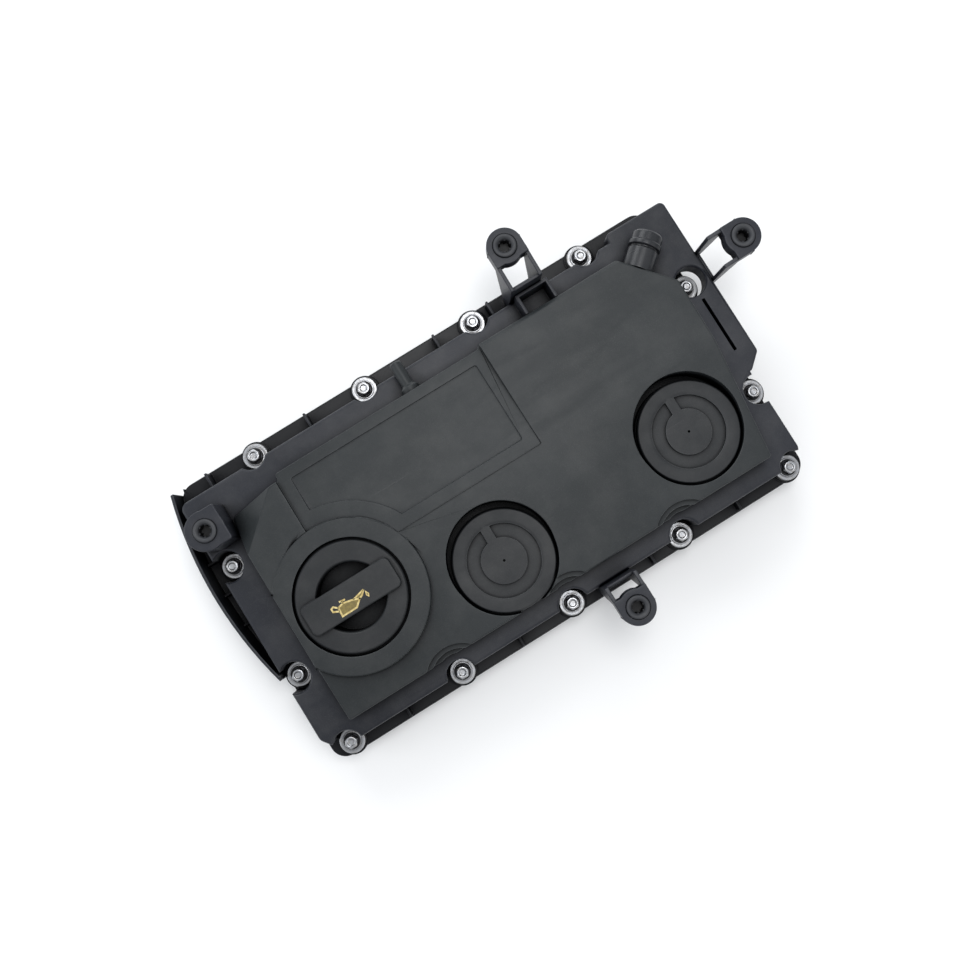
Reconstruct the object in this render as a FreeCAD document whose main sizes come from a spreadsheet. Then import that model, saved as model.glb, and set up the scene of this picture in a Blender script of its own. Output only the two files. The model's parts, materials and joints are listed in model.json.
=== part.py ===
import FreeCAD, Part
import math
import os

# Cylinder head cover of a four cylinder engine: moulded cover, oil separator lid, filler cap,
# two crankcase pressure regulators, gasket, captive bolts and the trim cover's rubber mounts.
# X runs along the engine, Y across it, +Z away from the head. z = 0 is the head's joint face,
# which the free gasket touches, and X = Y = 0 is the middle of the bolt layout. Millimetres.

import Sketcher
from FreeCAD import Placement, Rotation, Vector

os.makedirs("parts", exist_ok=True)
doc = FreeCAD.newDocument("cylinder_head_cover")
sheet = doc.addObject("Spreadsheet::Sheet", "dim")

DIMENSIONS = {
    # bolt layout
    "bolt_pitch": 88.0,          # the engine's cylinder spacing
    "row_y": 100.0,              # rows of five (-Y) and four (+Y) bolts
    "side_x": 183.0,             # two bolts at each end
    "side_y": 43.0,
    "bolt_r": 3.0,               # M6
    "bolt_flats": 8.0,
    "hole_r": 6.9,               # hole in the flange, round the rubber bush
    "silo_r": 10.6,              # clear round well above each bolt
    "silo_wall": 2.7,
    # cover: flange, tub and shelf
    "gasket_proud": 1.2,         # how far the free gasket stands below the flange
    "flange_thick": 8.0,
    "flange_left": 192.0,
    "flange_right": 189.0,
    "flange_front": 109.0,
    "flange_back": 108.0,
    "shelf_z": 34.0,
    "shelf_left": 190.0,
    "shelf_right": 184.5,
    "shelf_front": 99.0,
    "shelf_back": 94.5,
    "ledge_right": 196.5,        # the ledge that overhangs the right end
    "ledge_back": 100.7,
    "ledge_left": 150.0,
    "ledge_under": 20.0,
    "cavity_left": 184.0,
    "cavity_right": 181.0,
    "cavity_front": 93.0,
    "cavity_back": 91.0,
    "roof_thick": 3.0,
    # oil separator lid
    "lid_left": 163.0,
    "lid_right": 169.5,
    "lid_front": 84.5,
    "lid_back": 79.0,
    "lid_step_x": 35.5,
    "panel_left": 122.0,
    "ridge_y": 2.0,
    "ridge_z": 56.0,
    "front_z": 50.6,             # the lid's height at its front edge
    "back_z": 55.0,
    "panel_drop": 3.6,           # how far the back left panel slopes down
    "lid_wall": 2.8,
    # oil filler
    "cap_x": -120.0,
    "cap_y": -17.5,
    "cap_r": 36.7,
    "cap_gap": 1.5,
    "cap_base_z": 51.4,
    "cap_rim_z": 56.6,
    "grip_z": 59.4,
    "grip_width": 21.5,
    "grip_half": 32.6,
    "ring_r": 51.0,
    "neck_r": 31.0,
    "neck_wall": 3.4,
    "neck_top_z": 49.8,
    "plug_r": 27.2,
    "lug_r": 30.4,
    "lug_angle": 56.0,
    "tab_angle": 64.0,
    "tab_z": 41.0,
    "tab_thick": 3.0,
    # pressure regulators
    "reg1_x": -24.6,
    "reg1_y": -49.8,
    "reg2_x": 123.0,
    "reg2_y": -42.2,
    "disc_r": 34.3,
    "disc_z": 50.0,
    "moat": 1.3,
    "well_r": 36.2,
    "well_shift": 3.2,           # each well is wider on its +Y side
    "well_floor": 36.5,
    "chamber_r": 27.0,
    "ledge_z": 43.2,
    "chamber_z": 31.6,
    "valve_travel": 3.0,
    # trim cover mounts
    "eye_r": 11.6,
    "eye_z": 68.0,
    "eye_thick": 10.0,
    "bush_r": 7.8,
    "bush_bore": 4.1,
    "arm_width": 24.0,
    "arm_wall": 2.6,
    "back_eye_x": 82.0,
    "back_eye_y": 122.0,
    "right_eye_x": 216.4,
    "right_eye_y": 47.0,
    "front_eye_x": 32.0,
    "front_eye_y": -119.5,
    "front_eye_z": 61.0,
    "post_x": -177.3,
    "post_y": 67.5,
    "post_z": 60.0,
    "post_r": 13.4,
    # hose connections
    "port_r": 10.3,
    "port_bore": 7.6,
    "port_z": 45.4,
    "port_length": 26.0,
    "nipple_x": -17.5,
    "nipple_r": 4.2,
    "nipple_z": 43.0,
    "nipple_end": 99.5,
    # end fin
    "fin_bulge": 202.0,
    "fin_thick": 2.2,
    "fin_z": 30.0,
}
for row, (alias, number) in enumerate(DIMENSIONS.items(), start=1):
    sheet.set(f"A{row}", alias)
    sheet.set(f"B{row}", str(number))
    sheet.setAlias(f"B{row}", alias)
doc.recompute()


# ---------- small helpers: every size is an expression on the sheet ----------

def value(expression):
    """What an expression on the sheet comes to."""
    return float(sheet.evalExpression(str(expression)))


def place(obj, x="0", y="0", z="0"):
    for axis, expression in zip("xyz", (x, y, z)):
        obj.setExpression(f"Placement.Base.{axis}", str(expression))
    return obj


def box(name, length, width, height, x="0", y="0", z="0"):
    obj = doc.addObject("Part::Box", name)
    for prop, expression in (("Length", length), ("Width", width), ("Height", height)):
        obj.setExpression(prop, str(expression))
    return place(obj, x, y, z)


def cylinder(name, radius, height, x="0", y="0", z="0"):
    obj = doc.addObject("Part::Cylinder", name)
    obj.setExpression("Radius", str(radius))
    obj.setExpression("Height", str(height))
    return place(obj, x, y, z)


def cone(name, low_radius, high_radius, height, x="0", y="0", z="0"):
    obj = doc.addObject("Part::Cone", name)
    obj.setExpression("Radius1", str(low_radius))
    obj.setExpression("Radius2", str(high_radius))
    obj.setExpression("Height", str(height))
    return place(obj, x, y, z)


def fuse(name, pieces):
    obj = doc.addObject("Part::MultiFuse", name)
    obj.Shapes = pieces
    obj.Refine = True
    doc.recompute()
    return obj


def cut(name, base, *tools):
    """base with the tools taken away."""
    obj = doc.addObject("Part::Cut", name)
    obj.Base = base
    obj.Tool = tools[0] if len(tools) == 1 else fuse(name + "_tools", list(tools))
    obj.Refine = True
    doc.recompute()
    return obj


def common(name, base, tool):
    obj = doc.addObject("Part::Common", name)
    obj.Base = base
    obj.Tool = tool
    doc.recompute()
    return obj


def outline(name, corners, z="0"):
    """A closed sketch through the corners, each held by two dimensions bound to the sheet."""
    sketch = doc.addObject("Sketcher::SketchObject", name)
    hold_corners(sketch, corners)
    place(sketch, z=z)
    return sketch


def hold_corners(sketch, corners):
    points = [Vector(value(x), value(y), 0) for x, y in corners]
    count = len(points)
    for i, point in enumerate(points):
        sketch.addGeometry(Part.LineSegment(point, points[(i + 1) % count]), False)
    for i in range(count):
        sketch.addConstraint(Sketcher.Constraint("Coincident", i, 2, (i + 1) % count, 1))
    for i, (x, y) in enumerate(corners):
        for kind, expression, number, axis in (
            ("DistanceX", x, points[i].x, -2),
            ("DistanceY", y, points[i].y, -1),
        ):
            if abs(number) < 1e-6:
                sketch.addConstraint(Sketcher.Constraint("PointOnObject", i, 1, axis))
                continue
            held = sketch.addConstraint(Sketcher.Constraint(kind, -1, 1, i, 1, number))
            sketch.setExpression(f"Constraints[{held}]", str(expression))


def prism(name, corners, z, height):
    """An upright solid over the corners."""
    obj = doc.addObject("Part::Extrusion", name)
    obj.Base = outline(name + "_outline", corners, z)
    obj.DirMode = "Custom"
    obj.Dir = Vector(0, 0, 1)
    obj.Solid = True
    obj.FaceMakerClass = "Part::FaceMakerBullseye"
    obj.setExpression("LengthFwd", str(height))
    doc.recompute()
    return obj


def turned(name, profile, x="0", y="0", z="0"):
    """A solid turned about Z from its (radius, height) profile."""
    sketch = doc.addObject("Sketcher::SketchObject", name + "_profile")
    hold_corners(sketch, profile)
    sketch.Placement = Placement(Vector(), Rotation(Vector(1, 0, 0), 90))
    obj = doc.addObject("Part::Revolution", name)
    obj.Source = sketch
    obj.Axis = Vector(0, 0, 1)
    obj.Angle = 360
    obj.Solid = True
    place(obj, x, y, z)
    doc.recompute()
    return obj


def aim(obj, direction):
    """Swings obj so that its own Z axis points along direction."""
    obj.Placement = Placement(obj.Placement.Base, Rotation(Vector(0, 0, 1), direction))
    doc.recompute()
    return obj


def rounded(name, base, radius, chosen):
    """base with a fillet on every edge that chosen(edge) picks."""
    doc.recompute()
    picked = [
        (i, value(radius), value(radius))
        for i, edge in enumerate(base.Shape.Edges, start=1)
        if chosen(edge)
    ]
    obj = doc.addObject("Part::Fillet", name)
    obj.Base = base
    obj.Edges = picked
    doc.recompute()
    return obj


def upright(edge):
    first, last = edge.Vertexes[0].Point, edge.Vertexes[-1].Point
    return abs(first.z - last.z) > 1 and math.hypot(first.x - last.x, first.y - last.y) < 1e-4


def level(height):
    """Picks the edges that lie at one height."""
    z = value(height)

    def chosen(edge):
        bounds = edge.BoundBox
        return abs(bounds.ZMin - z) < 1e-3 and abs(bounds.ZMax - z) < 1e-3

    return chosen


def made(name, shape):
    """A sub-part whose shape is set directly."""
    obj = doc.addObject("Part::Feature", name)
    obj.Shape = shape
    return obj


def group_of(name, pattern, places):
    """One node of equal pieces, a copy of the pattern at each place."""
    copies = []
    for x, y in places:
        copy = pattern.Shape.copy()
        copy.translate(Vector(x, y, 0))
        copies.append(copy)
    return made(name, Part.makeCompound(copies))


# ---------- places ----------

FLANGE_TOP = value("dim.gasket_proud + dim.flange_thick")
PITCH = value("dim.bolt_pitch")
ROW_Y = value("dim.row_y")
FRONT_BOLTS = [(PITCH * k, -ROW_Y) for k in (-2, -1, 0, 1, 2)]
BACK_BOLTS = [(PITCH * k, ROW_Y) for k in (-1.5, -0.5, 0.5, 1.5)]
SIDE_BOLTS = [
    (side * value("dim.side_x"), end * value("dim.side_y")) for side in (-1, 1) for end in (-1, 1)
]
BOLTS = FRONT_BOLTS + BACK_BOLTS + SIDE_BOLTS
EYES = {
    "back": ("dim.back_eye_x", "dim.back_eye_y", "dim.eye_z"),
    "right": ("dim.right_eye_x", "dim.right_eye_y", "dim.eye_z"),
    "front": ("dim.front_eye_x", "dim.front_eye_y", "dim.front_eye_z"),
    "post": ("dim.post_x", "dim.post_y", "dim.post_z"),
}
REGULATORS = {"1": ("dim.reg1_x", "dim.reg1_y"), "2": ("dim.reg2_x", "dim.reg2_y")}


def posts(name, places, radius, height, z):
    """A cylinder at each place, as one tool."""
    return fuse(
        name,
        [
            cylinder(f"{name}_{i}", radius, height, x, y, z)
            for i, (x, y) in enumerate(places, start=1)
        ],
    )


# ---------- cover body ----------

def cavity_plan():
    """The inside of the cover, cut back round every bolt well: the gasket follows its edge."""
    inside = prism(
        "cavity_block",
        [
            ("-dim.cavity_left", "dim.cavity_back"),
            ("-dim.cavity_left", "-dim.cavity_front"),
            ("dim.cavity_right", "-dim.cavity_front"),
            ("dim.cavity_right", "dim.cavity_back"),
        ],
        "0",
        "dim.shelf_z - dim.roof_thick",
    )
    inside = rounded("cavity_rounded", inside, "9", upright)
    wells = posts("well_walls", BOLTS, "dim.silo_r + dim.silo_wall", "dim.shelf_z", "0")
    return cut("cavity", inside, wells)


def gasket_band(cavity, low, high, gap):
    """A closed band of the gasket's width that runs round the cavity's edge."""
    floor = [face for face in cavity.Shape.Faces if abs(face.BoundBox.ZMax) < 1e-6][0]
    wire = Part.Face(floor.OuterWire)
    outer = wire.makeOffset2D(5.0 + gap)
    inner = wire.makeOffset2D(1.4 - gap)
    band = outer.cut(inner)
    band.translate(Vector(0, 0, low))
    return band.extrude(Vector(0, 0, high - low))


def cover_body():
    flange = prism(
        "flange",
        [
            ("-dim.flange_left", "dim.flange_back"),
            ("-dim.flange_left", "-dim.flange_front"),
            ("dim.flange_right", "-dim.flange_front"),
            ("dim.flange_right", "dim.flange_back"),
        ],
        "dim.gasket_proud",
        "dim.flange_thick",
    )
    flange = rounded("flange_rounded", flange, "11", upright)
    flange = rounded("flange_eased", flange, "0.8", level("dim.gasket_proud + dim.flange_thick"))
    tub = prism(
        "tub",
        [
            ("-dim.shelf_left", "dim.shelf_back"),
            ("-dim.shelf_left", "-dim.shelf_front + 12"),
            ("-dim.shelf_left + 9", "-dim.shelf_front"),
            ("dim.shelf_right - 5", "-dim.shelf_front"),
            ("dim.shelf_right", "-dim.shelf_front + 9"),
            ("dim.shelf_right", "dim.shelf_back"),
        ],
        "dim.gasket_proud",
        "dim.shelf_z - dim.gasket_proud",
    )
    tub = rounded("tub_rounded", tub, "5.5", upright)
    tub = rounded("tub_eased", tub, "2", level("dim.shelf_z"))
    ledge = prism(
        "ledge",
        [
            ("dim.ledge_left", "dim.ledge_back"),
            ("dim.ledge_left", "-30"),
            ("dim.shelf_right + 1.5", "-30"),
            ("dim.ledge_right", "-20.5"),
            ("dim.ledge_right", "dim.ledge_back"),
        ],
        "dim.ledge_under",
        "dim.shelf_z - dim.ledge_under",
    )
    ledge = rounded("ledge_rounded", ledge, "4", upright)
    ledge = rounded("ledge_eased", ledge, "1.6", level("dim.shelf_z"))
    bosses = posts(
        "bosses", BOLTS, "dim.silo_r", "dim.flange_thick + 0.8", "dim.gasket_proud"
    )
    solid = fuse("body_solid", [flange, tub, ledge, bosses, end_fin(), *edge_ribs(), *arm_pocket()])
    cavity = cavity_plan()
    groove = made(
        "gasket_groove",
        gasket_band(cavity, value("dim.gasket_proud") - 0.1, value("dim.gasket_proud") + 4.6, 0.0),
    )
    wells = posts("wells", BOLTS, "dim.silo_r", "60", "dim.gasket_proud + dim.flange_thick + 0.8")
    well_mouths = fuse(
        "well_mouths",
        [
            cone(f"well_mouth_{i}", "dim.silo_r", "dim.silo_r + 1.2", "1.2", x, y, "dim.shelf_z - 1.1")
            for i, (x, y) in enumerate(BOLTS, start=1)
        ],
    )
    holes = posts("bolt_holes", BOLTS, "dim.hole_r", "20", "0")
    filler = cylinder("filler_hole", "dim.neck_r + 0.4", "20", "dim.cap_x", "dim.cap_y", "20")
    cups = posts(
        "regulator_clearance",
        [(value(x), value(y)) for x, y in REGULATORS.values()],
        "dim.chamber_r + dim.lid_wall + 0.5",
        "20",
        "dim.chamber_z - dim.lid_wall - 0.4",
    )
    gas_inlets = fuse(
        "gas_inlets",
        [box(f"gas_inlet_{i}", "26", "9", "10", x, "52", "28") for i, x in enumerate((-96, -60, -24))],
    )
    slit = box("ledge_slit", "2", "41", "9", "182.6", "-12.5", "dim.shelf_z - 8")
    body = cut(
        "cover_body", solid, cavity, groove, wells, well_mouths, holes, filler, cups, gas_inlets, slit
    )
    return body, cavity


def end_fin():
    """The curved lip at the timing end, with the webs that tie it to the tub."""
    bulge, thick = value("dim.fin_bulge"), value("dim.fin_thick")
    tub_face = -value("dim.shelf_left")
    top, middle, low = Vector(tub_face - 2, 104.5, 0), Vector(-bulge, 29, 0), Vector(tub_face - 0.5, -50, 0)
    outer = Part.Arc(top, middle, low)
    inward = Vector(thick, 0, 0)
    inner = Part.Arc(low + inward, middle + inward, top + inward)
    edges = [
        outer.toShape(),
        Part.LineSegment(low, low + inward).toShape(),
        inner.toShape(),
        Part.LineSegment(top + inward, top).toShape(),
    ]
    face = Part.Face(Part.Wire(edges))
    face.translate(Vector(0, 0, value("dim.gasket_proud")))
    fin = made("fin_blade", face.extrude(Vector(0, 0, value("dim.fin_z - dim.gasket_proud"))))
    floor = Part.Face(Part.Wire([outer.toShape(), Part.LineSegment(low, top).toShape()]))
    floor.translate(Vector(0.5, 0, value("dim.gasket_proud")))
    foot = made("fin_foot", floor.extrude(Vector(0, 0, 6)))
    webs = [
        box(f"fin_web_{i}", f"{tub_face + bulge - 1.2}", "1.8", "12", f"{1 - bulge}", y, "dim.gasket_proud")
        for i, y in enumerate((52, 28, 4))
    ]
    return fuse("end_fin", [fin, foot, *webs])


def edge_ribs():
    """Short stiffening ribs between the flange's edge and the tub."""
    back = [
        box(f"back_rib_{i}", "1.8", "15", "22", x, "91.5", "dim.gasket_proud")
        for i, x in enumerate((-167, -88.9, 14.5, 58))
    ]
    front = [
        box(f"front_rib_{i}", "1.8", "12", "16", x, "-107.5", "dim.gasket_proud")
        for i, x in enumerate((-134, -44, 62, 132))
    ]
    return back + front


def arm_pocket():
    """Low walls on the shelf that box in the root of the back arm."""
    left, right = "dim.back_eye_x - 9", "dim.back_eye_x + 13.5"
    low, height = "dim.shelf_z - 0.2", "17"
    depth = "dim.shelf_back - dim.lid_back - 0.8"
    return [
        box("pocket_left", "2.2", depth, height, left, "dim.lid_back + 0.4", low),
        box("pocket_right", "2.2", depth, height, right, "dim.lid_back + 0.4", low),
        box("pocket_back", "24.6", "2.2", height, left, "dim.shelf_back - 2.6", low),
    ]


# ---------- oil separator lid ----------

def lid_roof():
    """The lid's outer block: two gently sloping planes that meet at a ridge, and cut corners."""
    base = "dim.shelf_z"
    block = prism(
        "lid_block",
        [
            ("-dim.lid_left", "-dim.lid_front"),
            ("160.2", "-dim.lid_front"),
            ("dim.lid_right - 0.8", "0.5"),
            ("dim.lid_right", "46"),
            ("141.4", "dim.lid_back"),
            ("dim.lid_step_x", "dim.lid_back"),
            ("dim.lid_step_x - 2.5", "dim.lid_back - 2.5"),
            ("-dim.panel_left", "dim.lid_back - 2.5"),
            ("-dim.panel_left", "71.5"),
            ("-dim.lid_left", "68.5"),
        ],
        base,
        "30",
    )
    block = rounded("lid_rounded", block, "2", upright)
    ridge_y, ridge_z = value("dim.ridge_y"), value("dim.ridge_z")
    front = sloping_cutter(
        "front_slope", ridge_y, ridge_z, -value("dim.lid_front"), value("dim.front_z"), -230, 230
    )
    back = sloping_cutter(
        "back_slope", ridge_y, ridge_z, value("dim.lid_back"), value("dim.back_z"), -230, 230
    )
    corner = made("corner_facet", corner_cutter())
    lid_back, back_z = value("dim.lid_back"), value("dim.back_z")
    bevel = sloping_cutter("back_bevel", lid_back - 3, back_z + 0.4, lid_back, back_z - 2.4, 30, 150)
    roof = rounded("lid_roof_eased", cut("lid_roof", block, front, back, corner), "1.3", top_rim)
    return cut("lid_roof_bevelled", roof, bevel)


def top_rim(edge):
    """The roof's outer edges: those above the regulators' level that bound an upright wall."""
    bounds = edge.BoundBox
    ridge = abs(bounds.YMin - value("dim.ridge_y")) < 0.01 and bounds.XLength > 50
    return bounds.ZMin > value("dim.front_z") - 0.5 and not upright(edge) and not ridge


def sloping_cutter(name, y0, z0, y1, z1, x0, x1, depth=40.0):
    """Everything above the plane through the lines y0, z0 and y1, z1."""
    reach = 12.0 if abs(y1) > abs(y0) else 0.0
    slope = (z1 - z0) / (y1 - y0)
    far_y = y1 + math.copysign(reach, y1 - y0)
    far_z = z0 + slope * (far_y - y0)
    points = [
        Vector(x0, y0, z0),
        Vector(x0, far_y, far_z),
        Vector(x0, far_y, z0 + depth),
        Vector(x0, y0, z0 + depth),
    ]
    face = Part.Face(Part.makePolygon(points + points[:1]))
    return made(name, face.extrude(Vector(x1 - x0, 0, 0)))


def corner_cutter():
    """The wedge beyond the sloping facet at the back left corner."""
    left = Vector(-value("dim.lid_left") - 1, 40, value("dim.ridge_z") - 1.5)
    back = Vector(-129.5, 71, value("dim.ridge_z") - 1.4)
    low = Vector(-value("dim.lid_left") + 0.8, 67.5, value("dim.shelf_z") + 2)
    normal = (back - left).cross(low - left)
    if normal.dot(Vector(-1, 1, 1)) < 0:
        normal = normal * -1
    normal.normalize()
    along = (back - left).normalize()
    across = normal.cross(along)
    reach = 60.0
    corners = [
        left + along * s * reach * 2 + across * t * reach * 2
        for s, t in ((-1, -1), (1, -1), (1, 1), (-1, 1))
    ]
    face = Part.Face(Part.makePolygon(corners + corners[:1]))
    return face.extrude(normal * reach)


def panel_cutters():
    """The sloping back left panel and the shallow field inside its frame, both clear of the cap ring."""
    ridge_y, back = value("dim.ridge_y"), value("dim.lid_back")
    ridge_z, drop = value("dim.ridge_z"), value("dim.panel_drop")
    back_z = value("dim.back_z")
    frame = sloping_cutter(
        "panel_slope", ridge_y, ridge_z - 0.05, back, back_z - drop,
        -value("dim.panel_left") - 1.5, value("dim.lid_step_x"),
    )
    ring_keep = cylinder("panel_ring_keep", "dim.ring_r", "40", "dim.cap_x", "dim.cap_y", "40")
    frame = cut("panel_frame", frame, ring_keep)
    field_depth = 0.9
    field = sloping_cutter(
        "field_slope", ridge_y, ridge_z - 0.05 - field_depth, back, back_z - drop - field_depth,
        -250, 250,
    )
    plan = prism(
        "field_plan",
        [("-114.4", "10.8"), ("27", "10.8"), ("27", "68.6"), ("-114.4", "68.6")],
        "40",
        "30",
    )
    plan = rounded("field_plan_rounded", plan, "1.6", upright)
    field_keep = cylinder("field_ring_keep", "dim.ring_r + 11", "40", "dim.cap_x", "dim.cap_y", "35")
    plan = cut("field_clear", plan, field_keep)
    return [frame, common("panel_field", plan, field)]


def bolt_steps():
    """Three round steps that funnel down to each front bolt between the corners."""
    steps = []
    for i, x in enumerate((-PITCH, 0.0, PITCH)):
        for k, (radius, z) in enumerate(((23.0, 48.4), (19.6, 43.6), (16.4, 34.0))):
            steps.append(cylinder(f"bolt_step_{i}_{k}", radius, 40, x, -ROW_Y, z))
    return steps


def separator_lid():
    outer = lid_roof()
    ring = turned(
        "cap_ring",
        [
            ("dim.ring_r - 0.6", "dim.cap_rim_z - 0.2"),
            ("dim.ring_r", "dim.cap_rim_z - 0.9"),
            ("dim.ring_r", "dim.front_z - 8"),
            ("dim.cap_r - 3", "dim.front_z - 8"),
            ("dim.cap_r - 3", "dim.cap_rim_z - 0.2"),
        ],
        "dim.cap_x",
        "dim.cap_y",
    )
    nipple = turned(
        "nipple",
        [
            ("0", "0"), ("6.4", "0"), ("6.4", "5"), ("dim.nipple_r", "7"), ("dim.nipple_r", "23.3"),
            ("dim.nipple_r - 1.2", "24.5"), ("0", "24.5"),
        ],
        "dim.nipple_x",
        "dim.nipple_end - 24.5",
        "dim.nipple_z",
    )
    aim(nipple, Vector(0, 1, 0))
    ring = common("cap_ring_clipped", ring, doc.getObject("lid_rounded"))
    outer = cut("lid_shaped", outer, *panel_cutters())
    outer = cut("lid_stepped", outer, *bolt_steps())
    outer = fuse("lid_outer", [outer, ring, nipple])

    inside = prism(
        "lid_inside",
        [
            ("-dim.lid_left + 5", "-dim.lid_front + dim.lid_wall"),
            ("157", "-dim.lid_front + dim.lid_wall"),
            ("dim.lid_right - 3.6", "0.5"),
            ("dim.lid_right - 3", "44.5"),
            ("139.6", "dim.lid_back - dim.lid_wall"),
            ("-dim.panel_left + 3", "dim.lid_back - 5.6"),
            ("-dim.panel_left - 12", "56"),
            ("-dim.lid_left + 5", "32"),
        ],
        "dim.shelf_z - 1",
        "dim.front_z - dim.lid_wall - dim.shelf_z",
    )
    solids = [cylinder("neck_tube", "dim.neck_r + dim.neck_wall", "30", "dim.cap_x", "dim.cap_y", "30")]
    for key, (x, y) in REGULATORS.items():
        solids.append(cylinder(f"cup_wall_{key}", "dim.chamber_r + dim.lid_wall", "40", x, y, "20"))
        solids.append(
            cylinder(
                f"cup_rim_{key}",
                "dim.well_r + 3.8",
                "20",
                x,
                f"{y} + dim.well_shift - 1.2",
                "dim.shelf_z - 1",
            )
        )
    for i, x in enumerate((-PITCH, 0.0, PITCH)):
        solids.append(cylinder(f"step_wall_{i}", "25.4", "40", x, -ROW_Y, "30"))
    inside = cut("lid_hollow", inside, *solids)

    tubes = [
        cylinder("neck_outer", "dim.neck_r + dim.neck_wall", "18", "dim.cap_x", "dim.cap_y", "dim.shelf_z")
    ]
    bores = [
        cylinder("neck_bore", "dim.neck_r", "60", "dim.cap_x", "dim.cap_y", "20"),
        cylinder("cap_seat", "dim.cap_r + dim.cap_gap", "20", "dim.cap_x", "dim.cap_y", "dim.neck_top_z"),
    ]
    for key, (x, y) in REGULATORS.items():
        tubes.append(
            cylinder(
                f"cup_{key}", "dim.chamber_r + dim.lid_wall", "16", x, y, "dim.chamber_z - dim.lid_wall"
            )
        )
        bores.append(cylinder(f"chamber_{key}", "dim.chamber_r", "40", x, y, "dim.chamber_z"))
        bores.append(cylinder(f"disc_seat_{key}", "dim.disc_r + dim.moat", "20", x, y, "dim.ledge_z"))
        well = cylinder(
            f"disc_well_{key}", "dim.well_r", "30", x, f"{y} + dim.well_shift", "dim.well_floor"
        )
        bench = cylinder(f"disc_bench_{key}", "dim.disc_r + 0.4", "30", x, y, "dim.well_floor - 1")
        bores.append(cut(f"crescent_{key}", well, bench))
        bores.append(cylinder(f"gas_way_{key}", "5", "20", x, y, "20"))
    axis = port_axis()
    way = Part.makeCylinder(value("dim.port_bore"), 22, axis[0] - axis[1] * 14, axis[1])
    way_piece = made("port_way", way)
    nipple_from = Vector(value("dim.nipple_x"), 64, value("dim.nipple_z"))
    nipple_way = made("nipple_way", Part.makeCylinder(1.9, 40, nipple_from, Vector(0, 1, 0)))
    lid = cut("lid_open", fuse("lid_tubed", [cut("lid_shell", outer, inside), *tubes]), *bores)
    lid = cut("lid_ways", lid, way_piece, nipple_way)
    return fuse("separator_lid", [lid, filler_tabs(), *valve_seats()])


def filler_tabs():
    """The two ledges inside the neck that the cap's lugs lock under."""
    half = value("dim.tab_angle") / 2
    ring = turned(
        "tab_ring",
        [
            ("dim.plug_r + 0.7", "dim.tab_z"), ("dim.neck_r + 1", "dim.tab_z"),
            ("dim.neck_r + 1", "dim.tab_z + dim.tab_thick"),
            ("dim.plug_r + 0.7", "dim.tab_z + dim.tab_thick"),
        ],
        "dim.cap_x",
        "dim.cap_y",
    )
    return common("filler_tabs", ring, sector_pair("tab_sectors", half, 60.0, "dim.cap_x", "dim.cap_y"))


def sector_pair(name, half, reach, x, y):
    """Two opposite wedges about the X direction, each twice the half angle wide."""
    wedges = []
    for turn in (0, 180):
        a0, a1 = math.radians(turn - half), math.radians(turn + half)
        points = [
            Vector(0, 0, 0),
            Vector(reach * math.cos(a0), reach * math.sin(a0), 0),
            Vector(reach * math.cos(a1), reach * math.sin(a1), 0),
        ]
        face = Part.Face(Part.makePolygon(points + points[:1]))
        wedges.append(face.extrude(Vector(0, 0, 90)))
    pair = Part.makeCompound(wedges)
    pair.translate(Vector(value(x), value(y), 0))
    return made(name, pair)


def valve_seats():
    """The ring in each regulator's chamber that its plate closes on."""
    return [
        turned(
            f"valve_seat_{key}",
            [("6", "dim.chamber_z - 1"), ("8", "dim.chamber_z - 1"), ("8", "dim.chamber_z + 3.4"),
             ("7", "dim.chamber_z + 4.4"), ("6", "dim.chamber_z + 4.4")],
            x,
            y,
        )
        for key, (x, y) in REGULATORS.items()
    ]


def port_axis():
    """Where the breather port leaves the cut corner, and its direction."""
    a = Vector(141.4, value("dim.lid_back"), 0)
    b = Vector(value("dim.lid_right"), 46, 0)
    side = (b - a).normalize()
    out = Vector(-side.y, side.x, 0)
    start = a + side * 16.5
    return Vector(start.x, start.y, value("dim.port_z")), out


# ---------- smaller pieces ----------

def breather_port():
    start, out = port_axis()
    port = turned(
        "breather_port",
        [
            ("dim.port_bore", "0.05"), ("dim.port_r", "0.05"), ("dim.port_r", "14"),
            ("dim.port_r - 0.9", "14.4"), ("dim.port_r - 0.9", "15.6"), ("dim.port_r + 0.9", "16.2"),
            ("dim.port_r + 0.9", "18.8"), ("dim.port_r", "19.6"),
            ("dim.port_r", "dim.port_length - 1.2"), ("dim.port_r - 1", "dim.port_length"),
            ("dim.port_bore", "dim.port_length"),
        ],
        start.x,
        start.y,
        "dim.port_z",
    )
    return aim(port, out)


def separator_baffle():
    """The tray that catches oil under the lid: a plate with alternating fins and a drain."""
    plate = prism(
        "baffle_plate",
        [("-112", "36.5"), ("-60", "36.5"), ("-60", "1"), ("84", "1"), ("84", "8"), ("150", "8"),
         ("150", "44"), ("132", "66"), ("-112", "66")],
        "dim.shelf_z + 0.1",
        "1.8",
    )
    fins = [
        box(f"baffle_fin_{i}", "1.6", "38", "9.5", x, 10 if i % 2 else 24, "dim.shelf_z + 1")
        for i, x in enumerate(range(-48, 84, 16))
    ]
    intakes = [
        box(f"baffle_slot_{i}", "26", "9", "6", x, "52", "dim.shelf_z - 1")
        for i, x in enumerate((-96, -60, -24))
    ]
    return cut("separator_baffle", fuse("baffle_solid", [plate, *fins]), *intakes)


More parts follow.
